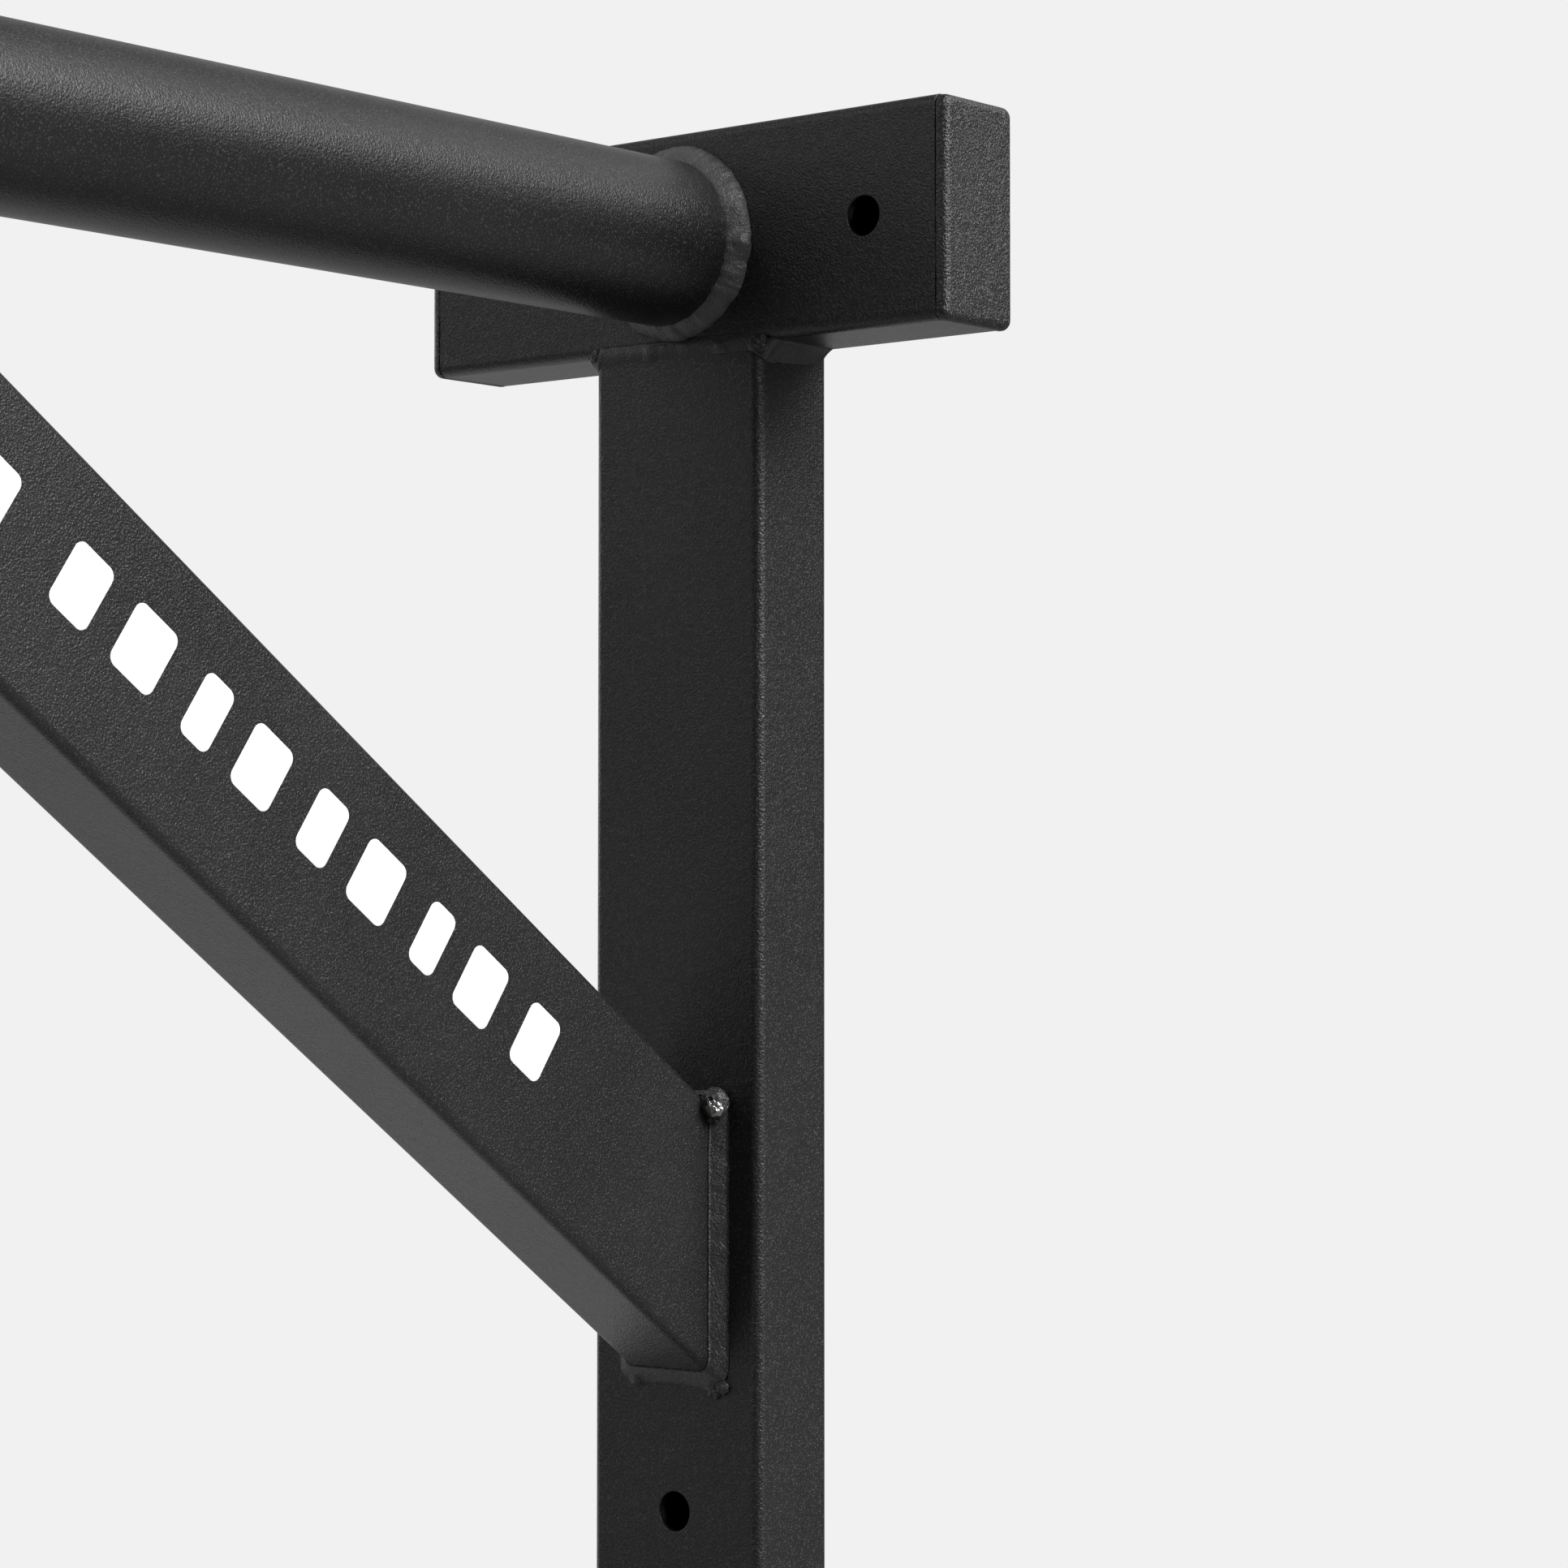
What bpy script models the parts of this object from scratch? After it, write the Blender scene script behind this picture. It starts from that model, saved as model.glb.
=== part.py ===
"""Wall-mounted pull-up bar: one bent round tube carried by two welded wall brackets.

Metres, +Z up. The origin lies on the wall plane, midway between the two brackets, at the height of the bar's
axis. The wall is the plane Y = 0, the object stands out from it towards -Y, and +X is to the right of someone
who faces the wall. Pieces that are welded together keep FIT_GAP between them.
"""

import math

import bmesh
import bpy
from mathutils import Matrix, Vector

# The whole bar
BRACKET_SPACING = 1.000  # between the middle planes of the brackets
BAR_REACH = 0.560  # from the wall to the axis of the gripping bar
BEND_RADIUS = 0.100  # of the bar's axis
BAR_DIAMETER = 0.038
BAR_WALL = 0.002

# Rectangular tube of the crosspieces, uprights and braces
SECTION_LONG = 0.050
SECTION_SHORT = 0.025
SECTION_WALL = 0.002
SECTION_RADIUS = 0.0025
SECTION_INNER_RADIUS = 0.0008

# One bracket, with heights measured from the bar's axis
CROSSPIECE_LENGTH = 0.150
CROSSPIECE_TOP = 0.026
UPRIGHT_BOTTOM = -0.314
BRACE_ANGLE = math.radians(35.0)  # above the horizontal
BRACE_FOOT_HEIGHT = -0.228  # where the brace's centre line meets the front of the upright

# Bolt holes
HOLE_DIAMETER = 0.009
CROSSPIECE_HOLE_OFFSET = 0.055  # from the bracket's middle plane, to each side
UPRIGHT_HOLE_HEIGHT = -0.289

# End plates, welded over the open ends of the rectangular tubes
PLATE_THICKNESS = 0.003
PLATE_EDGE = 0.0008  # width of the eased edge round its outer face

# Welds
WELD_LEG = 0.0035
WELD_BULGE = 0.62  # 0.5 is a flat bead, more is a full one
CORNER_WELD_LEG = 0.0015
GROOVE_WELD_PROUD = 0.0006
FIT_GAP = 0.0003

# Faceting
BAR_SIDES = 32
BEND_STEPS = 12
CORNER_STEPS = 4
HOLE_SIDES = 24
BRACE_WELD_STEPS = 6  # along each straight side of the brace

# Worked out from the above
CROSSPIECE_MIDDLE = CROSSPIECE_TOP - SECTION_LONG / 2
CROSSPIECE_BOTTOM = CROSSPIECE_TOP - SECTION_LONG
BAR_RADIUS = BAR_DIAMETER / 2
BRACE_DIRECTION = Vector((0.0, -math.cos(BRACE_ANGLE), math.sin(BRACE_ANGLE)))
BRACE_TOP_NORMAL = Vector((0.0, math.sin(BRACE_ANGLE), math.cos(BRACE_ANGLE)))
BRACE_FOOT = Vector((0.0, -SECTION_SHORT, BRACE_FOOT_HEIGHT))


def make_material(name, colour, roughness, metallic):
    material = bpy.data.materials.new(name)
    material.use_nodes = True
    shader = material.node_tree.nodes["Principled BSDF"]
    shader.inputs["Base Color"].default_value = (*colour, 1.0)
    shader.inputs["Roughness"].default_value = roughness
    shader.inputs["Metallic"].default_value = metallic
    return material


def add_object(name, bm, material, parent=None, location=(0.0, 0.0, 0.0), rotation=(0.0, 0.0, 0.0)):
    bmesh.ops.recalc_face_normals(bm, faces=bm.faces[:])
    mesh = bpy.data.meshes.new(name)
    bm.to_mesh(mesh)
    bm.free()
    mesh.shade_smooth()
    mesh.set_sharp_from_angle(angle=math.radians(35.0))
    mesh.materials.append(material)
    obj = bpy.data.objects.new(name, mesh)
    obj.parent = parent
    obj.location = location
    obj.rotation_euler = rotation
    bpy.context.collection.objects.link(obj)
    return obj


def add_cutter(name, bm, parent, location=(0.0, 0.0, 0.0)):
    cutter = add_object(name, bm, CUTTER_MATERIAL, parent, location)
    cutter.hide_render = True
    cutter.display_type = "WIRE"
    return cutter


def cut(obj, cutter):
    modifier = obj.modifiers.new(cutter.name, "BOOLEAN")
    modifier.operation = "DIFFERENCE"
    modifier.solver = "EXACT"
    modifier.object = cutter


def rounded_rectangle(width, height, radius, side_steps=1):
    """Points of the outline, anticlockwise, each with its outward normal."""
    outline = []
    for quarter in range(4):
        side_x = 1 if quarter in (0, 3) else -1
        side_y = 1 if quarter in (0, 1) else -1
        centre = Vector((side_x * (width / 2 - radius), side_y * (height / 2 - radius)))
        for step in range(CORNER_STEPS + 1):
            angle = math.pi / 2 * (quarter + step / CORNER_STEPS)
            normal = Vector((math.cos(angle), math.sin(angle)))
            outline.append((centre + radius * normal, normal))
        # The straight side after this corner runs along its last normal turned a quarter.
        length = (width if quarter in (0, 2) else height) - 2 * radius
        along = Vector((-normal.y, normal.x))
        corner = centre + radius * normal
        for step in range(1, side_steps):
            outline.append((corner + length * step / side_steps * along, normal))
    return outline


def skin(rings, closed):
    """Joins rings of points in turn. A closed skin joins the last to the first, an open one fills its two ends."""
    bm = bmesh.new()
    loops = [[bm.verts.new(point) for point in ring] for ring in rings]
    for index in range(0 if closed else 1, len(loops)):
        before = loops[index - 1]
        after = loops[index]
        for side in range(len(after)):
            bm.faces.new((before[side - 1], before[side], after[side], after[side - 1]))
    if not closed:
        bm.faces.new(loops[0])
        bm.faces.new(loops[-1])
    return bm


def rectangular_tube(width, height, length):
    """A hollow tube along +Z, open at both ends."""
    bore_width = width - 2 * SECTION_WALL
    bore_height = height - 2 * SECTION_WALL
    outer = rounded_rectangle(width, height, SECTION_RADIUS)
    inner = rounded_rectangle(bore_width, bore_height, SECTION_INNER_RADIUS)
    rings = []
    for outline, level in ((outer, 0.0), (outer, length), (inner, length), (inner, 0.0)):
        rings.append([Vector((point.x, point.y, level)) for point, _ in outline])
    return skin(rings, closed=True)


def bar_stations():
    """Places along the bar's axis, from the left bracket to the right one, each with the bend's outward side."""
    middle = BRACKET_SPACING / 2 - BEND_RADIUS
    bend_start = -(BAR_REACH - BEND_RADIUS)
    right = Vector((1.0, 0.0, 0.0))
    stations = [(Vector((BRACKET_SPACING / 2, -(SECTION_SHORT + FIT_GAP), 0.0)), right)]
    for step in range(BEND_STEPS + 1):
        angle = math.pi / 2 * step / BEND_STEPS
        side = Vector((math.cos(angle), -math.sin(angle), 0.0))
        stations.append((Vector((middle, bend_start, 0.0)) + BEND_RADIUS * side, side))
    mirror = Matrix.Diagonal((-1.0, 1.0, 1.0))
    return [(mirror @ place, mirror @ side) for place, side in stations] + stations[::-1]


def build_bar():
    """The bent tube: an arm from the left bracket, the gripping bar, and an arm back to the right bracket."""
    stations = bar_stations()
    outer = []
    inner = []
    for rings, radius in ((outer, BAR_RADIUS), (inner, BAR_RADIUS - BAR_WALL)):
        for place, side in stations:
            ring = []
            for step in range(BAR_SIDES):
                angle = 2 * math.pi * step / BAR_SIDES
                up = Vector((0.0, 0.0, math.sin(angle)))
                ring.append(place + radius * (math.cos(angle) * side + up))
            rings.append(ring)
    return add_object("pull_up_bar", skin(outer + inner[::-1], closed=True), BAR_MATERIAL)


def bolt_hole(name, parent, x, z):
    """A round cutter along Y, through the front and the back wall of a tube."""
    bm = bmesh.new()
    bmesh.ops.create_cone(
        bm,
        cap_ends=True,
        segments=HOLE_SIDES,
        radius1=HOLE_DIAMETER / 2,
        radius2=HOLE_DIAMETER / 2,
        depth=2 * SECTION_SHORT,
        matrix=Matrix.Rotation(math.pi / 2, 4, "X"),
    )
    return add_cutter(name, bm, parent, (x, -SECTION_SHORT / 2, z))


def build_crosspiece(side, bracket):
    obj = add_object(
        side + "_crosspiece",
        rectangular_tube(SECTION_LONG, SECTION_SHORT, CROSSPIECE_LENGTH),
        BRACKET_MATERIAL,
        bracket,
        (-CROSSPIECE_LENGTH / 2, -SECTION_SHORT / 2, CROSSPIECE_MIDDLE),
        (0.0, math.pi / 2, 0.0),
    )
    for index, offset in enumerate((-CROSSPIECE_HOLE_OFFSET, CROSSPIECE_HOLE_OFFSET)):
        name = f"{side}_crosspiece_hole_{index}"
        cut(obj, bolt_hole(name, bracket, offset, CROSSPIECE_MIDDLE))


def build_upright(side, bracket):
    top = CROSSPIECE_BOTTOM - FIT_GAP
    obj = add_object(
        side + "_upright",
        rectangular_tube(SECTION_LONG, SECTION_SHORT, top - UPRIGHT_BOTTOM),
        BRACKET_MATERIAL,
        bracket,
        (0.0, -SECTION_SHORT / 2, UPRIGHT_BOTTOM),
    )
    cut(obj, bolt_hole(side + "_upright_hole", bracket, 0.0, UPRIGHT_HOLE_HEIGHT))


def wall_side_cutter(side, bracket):
    """A block behind the front face of the upright, which cuts the foot of the brace upright."""
    depth = 4 * SECTION_LONG
    height = 8 * SECTION_LONG
    bm = bmesh.new()
    bmesh.ops.create_cube(bm, size=1.0, matrix=Matrix.Diagonal((depth, depth, height, 1.0)))
    middle = (0.0, depth / 2 - SECTION_SHORT - FIT_GAP, BRACE_FOOT_HEIGHT)
    return add_cutter(side + "_brace_foot_cutter", bm, bracket, middle)


def bar_side_cutter(side, bracket):
    """A slot with a round bottom along the bar's arm, which copes the top of the brace to the tube."""
    radius = BAR_RADIUS + FIT_GAP
    height = 8 * SECTION_LONG
    outline = [(radius, height), (-radius, height)]
    for step in range(BAR_SIDES + 1):
        angle = math.pi + math.pi * step / BAR_SIDES
        outline.append((radius * math.cos(angle), radius * math.sin(angle)))
    rings = [[Vector((x, y, z)) for x, z in outline] for y in (0.0, -BAR_REACH)]
    return add_cutter(side + "_brace_top_cutter", skin(rings, closed=False), bracket)


def build_brace(side, bracket):
    """The tube is made too long at both ends and cut to the upright and to the bar."""
    behind = 2 * SECTION_LONG
    length = behind + (CROSSPIECE_TOP + SECTION_LONG - BRACE_FOOT_HEIGHT) / math.sin(BRACE_ANGLE)
    obj = add_object(
        side + "_brace",
        rectangular_tube(SECTION_SHORT, SECTION_LONG, length),
        BRACKET_MATERIAL,
        bracket,
        BRACE_FOOT - behind * BRACE_DIRECTION,
        (math.pi / 2 - BRACE_ANGLE, 0.0, 0.0),
    )
    cut(obj, wall_side_cutter(side, bracket))
    cut(obj, bar_side_cutter(side, bracket))


def build_end_plate(name, bracket, location, rotation):
    """A plate of the tube's own outline. Its own +Z points out of the tube, from the tube's end."""
    outlines = (
        (0.0, FIT_GAP),
        (0.0, PLATE_THICKNESS - PLATE_EDGE),
        (PLATE_EDGE / 3, PLATE_THICKNESS - PLATE_EDGE / 3),
        (PLATE_EDGE, PLATE_THICKNESS),
    )
    rings = []
    for inset, level in outlines:
        width = SECTION_LONG - 2 * inset
        depth = SECTION_SHORT - 2 * inset
        outline = rounded_rectangle(width, depth, SECTION_RADIUS - inset)
        rings.append([Vector((point.x, point.y, level)) for point, _ in outline])
    add_object(name, skin(rings, closed=False), PLATE_MATERIAL, bracket, location, rotation)


def build_end_plates(side, bracket):
    half = CROSSPIECE_LENGTH / 2
    depth = -SECTION_SHORT / 2
    quarter = math.pi / 2
    name = side + "_crosspiece_end_plate_"
    build_end_plate(name + "left", bracket, (-half, depth, CROSSPIECE_MIDDLE), (0.0, -quarter, 0.0))
    build_end_plate(name + "right", bracket, (half, depth, CROSSPIECE_MIDDLE), (0.0, quarter, 0.0))
    build_end_plate(side + "_upright_end_plate", bracket, (0.0, depth, UPRIGHT_BOTTOM), (math.pi, 0.0, 0.0))


def bead_section(root, along_base, along_tube, leg):
    """A fillet weld's section: its root, one toe on each piece, and a full face between them."""
    toe_base = leg * along_base
    toe_tube = leg * along_tube
    return [root, root + toe_base, root + WELD_BULGE * (toe_base + toe_tube), root + toe_tube]


def build_bar_weld(side, bracket):
    """The ring between the end of the bar's arm and the front of the crosspiece."""
    face = -(SECTION_SHORT + FIT_GAP)
    sections = []
    for step in range(BAR_SIDES):
        angle = 2 * math.pi * step / BAR_SIDES
        outward = Vector((math.cos(angle), 0.0, math.sin(angle)))
        root = (BAR_RADIUS + FIT_GAP) * outward + Vector((0.0, face, 0.0))
        sections.append(bead_section(root, outward, Vector((0.0, -1.0, 0.0)), WELD_LEG))
    add_object(side + "_bar_weld", skin(sections, closed=True), WELD_MATERIAL, bracket)


def brace_outline():
    """The brace's section just clear of its surface, each point with its outward normal, across the brace."""
    width = SECTION_SHORT + 2 * FIT_GAP
    height = SECTION_LONG + 2 * FIT_GAP
    for point, normal in rounded_rectangle(width, height, SECTION_RADIUS + FIT_GAP, BRACE_WELD_STEPS):
        place = BRACE_FOOT + Vector((point.x, 0.0, 0.0)) + point.y * BRACE_TOP_NORMAL
        yield place, Vector((normal.x, 0.0, 0.0)) + normal.y * BRACE_TOP_NORMAL


def build_brace_foot_weld(side, bracket):
    """The bead round the brace where it stands on the front of the upright."""
    face = -(SECTION_SHORT + FIT_GAP)
    sections = []
    for place, normal in brace_outline():
        root = place + (face - place.y) / BRACE_DIRECTION.y * BRACE_DIRECTION
        outward = Vector((normal.x, 0.0, normal.z)).normalized()
        sections.append(bead_section(root, outward, BRACE_DIRECTION, WELD_LEG))
    add_object(side + "_brace_foot_weld", skin(sections, closed=True), WELD_MATERIAL, bracket)


def build_brace_top_weld(side, bracket):
    """The bead round the brace where it meets the underside of the bar."""
    radius = BAR_RADIUS + FIT_GAP
    sections = []
    for place, normal in brace_outline():
        height = -math.sqrt(radius**2 - place.x**2)
        root = place + (height - place.z) / BRACE_DIRECTION.z * BRACE_DIRECTION
        radial = Vector((root.x, 0.0, root.z)).normalized()
        outward = (normal - normal.dot(radial) * radial).normalized()
        sections.append(bead_section(root, outward, -BRACE_DIRECTION, WELD_LEG))
    add_object(side + "_brace_top_weld", skin(sections, closed=True), WELD_MATERIAL, bracket)


def groove_section():
    """Outward and height of the bead that fills the groove under the crosspiece's rounded lower edge."""
    radius = SECTION_RADIUS + FIT_GAP
    points = []
    for degrees in (-25.0, -45.0, -63.0):
        angle = math.radians(degrees)
        out = radius * math.cos(angle) - SECTION_RADIUS
        points.append((out, radius * math.sin(angle) + SECTION_RADIUS))
    points.append((FIT_GAP, 0.0))
    points.append((FIT_GAP, -CORNER_WELD_LEG))
    points.append((FIT_GAP + GROOVE_WELD_PROUD, -CORNER_WELD_LEG / 2))
    points.append((FIT_GAP + GROOVE_WELD_PROUD, CORNER_WELD_LEG / 4))
    return points


def corner_section(leg):
    """Outward and height of the fillet under the crosspiece, with as many points as the groove's section."""
    gap = FIT_GAP
    middle = gap + (WELD_BULGE - 0.5) * leg
    return [
        (gap + leg, -gap),
        (gap + leg / 2, -gap),
        (gap, -gap),
        (gap, -gap - leg / 2),
        (gap, -gap - leg),
        (middle + leg / 4, -gap - 0.75 * leg),
        (middle + leg * 0.75, -gap - leg / 4),
    ]


def build_upright_weld(side, bracket):
    """The bead between crosspiece and upright: along one side, across the front and back along the other side."""
    half = SECTION_LONG / 2
    corner = half - SECTION_RADIUS
    front = Vector((0.0, -1.0))
    right = Vector((1.0, 0.0))
    # Each stop is a place on the upright's outline, its outward normal and the section there.
    stops = [
        (Vector((half, -3 * SECTION_RADIUS / 2)), right, corner_section(CORNER_WELD_LEG)),
        (Vector((half, -2 * SECTION_RADIUS)), right, corner_section(WELD_LEG)),
        (Vector((half, SECTION_RADIUS - SECTION_SHORT)), right, corner_section(WELD_LEG)),
    ]
    for step in range(1, CORNER_STEPS + 1):
        angle = math.pi / 2 * step / CORNER_STEPS
        normal = math.cos(angle) * right + math.sin(angle) * front
        place = Vector((corner, SECTION_RADIUS - SECTION_SHORT)) + SECTION_RADIUS * normal
        leg = WELD_LEG + (CORNER_WELD_LEG - WELD_LEG) * step / CORNER_STEPS
        stops.append((place, normal, corner_section(leg)))
    stops.append((Vector((corner - SECTION_RADIUS, -SECTION_SHORT)), front, groove_section()))
    for place, normal, section in reversed(stops[:]):
        mirrored = (Vector((-place.x, place.y)), Vector((-normal.x, normal.y)), section)
        stops.append(mirrored)
    rings = []
    for place, normal, section in stops:
        ring = []
        for out, height in section:
            point = place + out * normal
            ring.append(Vector((point.x, point.y, CROSSPIECE_BOTTOM + height)))
        rings.append(ring)
    add_object(side + "_upright_weld", skin(rings, closed=False), WELD_MATERIAL, bracket)


def build_bracket(side, x):
    bracket = bpy.data.objects.new(side + "_bracket", None)
    bracket.location = (x, 0.0, 0.0)
    bpy.context.collection.objects.link(bracket)
    build_crosspiece(side, bracket)
    build_upright(side, bracket)
    build_brace(side, bracket)
    build_end_plates(side, bracket)
    build_bar_weld(side, bracket)
    build_upright_weld(side, bracket)
    build_brace_foot_weld(side, bracket)
    build_brace_top_weld(side, bracket)


for old in list(bpy.data.objects):
    bpy.data.objects.remove(old, do_unlink=True)

BAR_MATERIAL = make_material("bar powder coat", (0.022, 0.022, 0.023), 0.48, 0.0)
BRACKET_MATERIAL = make_material("bracket powder coat", (0.022, 0.022, 0.023), 0.5, 0.0)
WELD_MATERIAL = make_material("weld powder coat", (0.024, 0.024, 0.025), 0.45, 0.0)
PLATE_MATERIAL = make_material("end plate powder coat", (0.024, 0.024, 0.025), 0.5, 0.0)
CUTTER_MATERIAL = make_material("cutter", (0.8, 0.2, 0.2), 0.5, 0.0)

build_bar()
build_bracket("left", -BRACKET_SPACING / 2)
build_bracket("right", BRACKET_SPACING / 2)
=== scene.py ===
import math

import bmesh
import bpy
from mathutils import Matrix, Vector, noise


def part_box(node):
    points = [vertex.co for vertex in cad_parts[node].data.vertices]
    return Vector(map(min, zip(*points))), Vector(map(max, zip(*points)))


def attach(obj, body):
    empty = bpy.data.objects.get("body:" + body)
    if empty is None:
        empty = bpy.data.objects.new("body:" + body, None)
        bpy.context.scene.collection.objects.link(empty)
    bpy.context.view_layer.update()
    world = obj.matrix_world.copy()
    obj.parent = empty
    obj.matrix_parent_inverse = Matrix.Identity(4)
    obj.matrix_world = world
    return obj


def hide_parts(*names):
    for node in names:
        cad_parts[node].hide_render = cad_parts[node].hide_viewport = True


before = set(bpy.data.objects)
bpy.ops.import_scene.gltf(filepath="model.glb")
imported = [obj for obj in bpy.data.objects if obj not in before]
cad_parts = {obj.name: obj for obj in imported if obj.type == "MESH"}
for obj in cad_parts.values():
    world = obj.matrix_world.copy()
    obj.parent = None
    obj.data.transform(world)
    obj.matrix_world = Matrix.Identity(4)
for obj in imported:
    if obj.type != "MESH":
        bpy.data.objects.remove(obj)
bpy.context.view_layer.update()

# ---------------------------------------------------------------- sizes, in metres
TUBE_WALL = 0.002
SECTION_RADIUS = 0.0025
SECTION_INNER_RADIUS = 0.0008
TUBE_END_EASE = 0.00015  # bevel round the sawn ends of the rectangular tubes
BEND_RADIUS = 0.100
BRACE_ANGLE = math.radians(35.0)
HOLE_RADIUS = 0.0045
HOLE_EDGE = 0.00030  # radius of the coated edge round a bolt hole
CROSSPIECE_HOLE_OFFSET = 0.055
UPRIGHT_HOLE_HEIGHT = -0.289
PLATE_EDGE = 0.0020  # radius round the outer face of an end plate
PLATE_SEAM_DEPTH = 0.00012  # least depth of the groove behind an end plate
PLATE_SEAM_SWING = 0.00040  # how much deeper the groove gets where no powder fills it

# Hairline gaps under the weld beads, so that no two faces lie in one plane
UPRIGHT_GAP = 0.00004
BAR_GAP = 0.00005
BRACE_GAP = 0.0001

# Weld beads: how far the toes lie from the corner that the bead fills
EMBED = 0.0003  # how far the toes sink into the tubes
BAR_WELD_OUT = 0.0034
BAR_WELD_ALONG = 0.0041
FOOT_WELD_OUT = 0.0037
FOOT_WELD_ALONG = 0.0036
FOOT_WELD_WAIST = 0.0235  # height of the thinner place over the middle of the foot
FOOT_WELD_WAIST_REACH = 0.006
TOP_WELD_LEG = 0.0034
# The seam is the weld between the upright and the crosspiece.
SEAM_SIDE_OUT = 0.0038
SEAM_SIDE_DOWN = 0.0046
SEAM_FRONT_OUT = 0.0010
SEAM_FRONT_DOWN = 0.0021
SEAM_BACK = 0.0012  # how far short of the upright's back face the weld stops

# Spatter at the top of each brace foot, measured from the brace's upper corner
NODULE_RADIUS = 0.0034
NODULE_OUT = 0.0018
NODULE_FORWARD = 0.0026
NODULE_UP = 0.0012

X = Vector((1.0, 0.0, 0.0))
Y = Vector((0.0, 1.0, 0.0))
Z = Vector((0.0, 0.0, 1.0))

CROSS_LOW, CROSS_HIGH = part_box("right_crosspiece")
UPRIGHT_LOW, UPRIGHT_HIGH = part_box("right_upright")
BAR_LOW, BAR_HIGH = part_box("pull_up_bar")
BRACE_LOW, BRACE_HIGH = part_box("right_brace")
PLATE_LOW, PLATE_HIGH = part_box("right_crosspiece_end_plate_right")

SECTION_LONG = CROSS_HIGH.z - CROSS_LOW.z
SECTION_SHORT = CROSS_HIGH.y - CROSS_LOW.y
CROSS_LENGTH = CROSS_HIGH.x - CROSS_LOW.x
BRACKET_X = (CROSS_LOW.x + CROSS_HIGH.x) / 2
FRONT = CROSS_LOW.y
SECTION_Y = FRONT + SECTION_SHORT / 2
CROSS_MIDDLE = (CROSS_LOW.z + CROSS_HIGH.z) / 2
CROSS_BOTTOM = CROSS_LOW.z
UPRIGHT_BOTTOM = UPRIGHT_LOW.z
BAR_RADIUS = (BAR_HIGH.z - BAR_LOW.z) / 2
BAR_Z = (BAR_HIGH.z + BAR_LOW.z) / 2
BAR_REACH = -(BAR_LOW.y + BAR_RADIUS)
PLATE_THICKNESS = PLATE_HIGH.x - CROSS_HIGH.x
FOOT_RISE = SECTION_LONG / 2 / math.cos(BRACE_ANGLE)
FOOT_MIDDLE = BRACE_LOW.z + FOOT_RISE
FOOT_TOP = FOOT_MIDDLE + FOOT_RISE
FOOT_LOW = FOOT_MIDDLE - FOOT_RISE
BRACE_ALONG = Vector((0.0, -math.cos(BRACE_ANGLE), math.sin(BRACE_ANGLE)))
BRACE_UP = Vector((0.0, math.sin(BRACE_ANGLE), math.cos(BRACE_ANGLE)))
SIDES = (("left", -BRACKET_X), ("right", BRACKET_X))


# ---------------------------------------------------------------- mesh helpers
def smooth(t):
    t = min(max(t, 0.0), 1.0)
    return t * t * (3.0 - 2.0 * t)


def mix(a, b, t):
    return a + (b - a) * t


def wander(point, scale, shift=(0.0, 0.0, 0.0)):
    """Smooth noise, about -1 to 1, that changes over 1 / scale metres."""
    return noise.noise(point * scale + Vector(shift))


def rounded_rectangle(width, height, radius, corner_steps=10, side_steps=1):
    """Points of the outline, anticlockwise, each with its outward normal."""
    outline = []
    for quarter in range(4):
        side_x = 1 if quarter in (0, 3) else -1
        side_y = 1 if quarter in (0, 1) else -1
        centre = Vector((side_x * (width / 2 - radius), side_y * (height / 2 - radius)))
        for step in range(corner_steps + 1):
            angle = math.pi / 2 * (quarter + step / corner_steps)
            normal = Vector((math.cos(angle), math.sin(angle)))
            outline.append((centre + radius * normal, normal))
        length = (width if quarter in (0, 2) else height) - 2 * radius
        along = Vector((-normal.y, normal.x))
        corner = centre + radius * normal
        for step in range(1, side_steps):
            outline.append((corner + length * step / side_steps * along, normal))
    return outline


def skin(rings, closed):
    """Joins rings of points in turn. A closed skin joins the last ring to the first, and an open one has
    its two ends filled."""
    bm = bmesh.new()
    loops = [[bm.verts.new(point) for point in ring] for ring in rings]
    for index in range(0 if closed else 1, len(loops)):
        before = loops[index - 1]
        after = loops[index]
        for side in range(len(after)):
            bm.faces.new((before[side - 1], before[side], after[side], after[side - 1]))
    if not closed:
        bm.faces.new(loops[0])
        bm.faces.new(loops[-1])
    bmesh.ops.recalc_face_normals(bm, faces=bm.faces[:])
    return bm


def mesh_object(name, bm, material, sharp=35.0):
    """An object from a bmesh, shaded smooth except where faces meet at more than sharp degrees."""
    mesh = bpy.data.meshes.new(name)
    bm.to_mesh(mesh)
    bm.free()
    mesh.shade_smooth()
    mesh.set_sharp_from_angle(angle=math.radians(sharp))
    if material:
        mesh.materials.append(material)
    obj = bpy.data.objects.new(name, mesh)
    bpy.context.scene.collection.objects.link(obj)
    return obj


def bake(obj, cutters=(), weighted=True):
    """Applies the cutters and weighted normals, so that flat faces stay flat between rounded edges."""
    for cutter in cutters:
        modifier = obj.modifiers.new("cut", "BOOLEAN")
        modifier.operation = "DIFFERENCE"
        modifier.solver = "EXACT"
        modifier.object = cutter
    if weighted:
        modifier = obj.modifiers.new("normals", "WEIGHTED_NORMAL")
        modifier.keep_sharp = True
        modifier.weight = 50
    bpy.context.view_layer.update()
    graph = bpy.context.evaluated_depsgraph_get()
    done = bpy.data.meshes.new_from_object(obj.evaluated_get(graph), depsgraph=graph)
    old = obj.data
    obj.modifiers.clear()
    obj.data = done
    done.name = obj.name
    bpy.data.meshes.remove(old)
    for cutter in cutters:
        mesh = cutter.data
        bpy.data.objects.remove(cutter)
        bpy.data.meshes.remove(mesh)
    return obj


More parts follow.
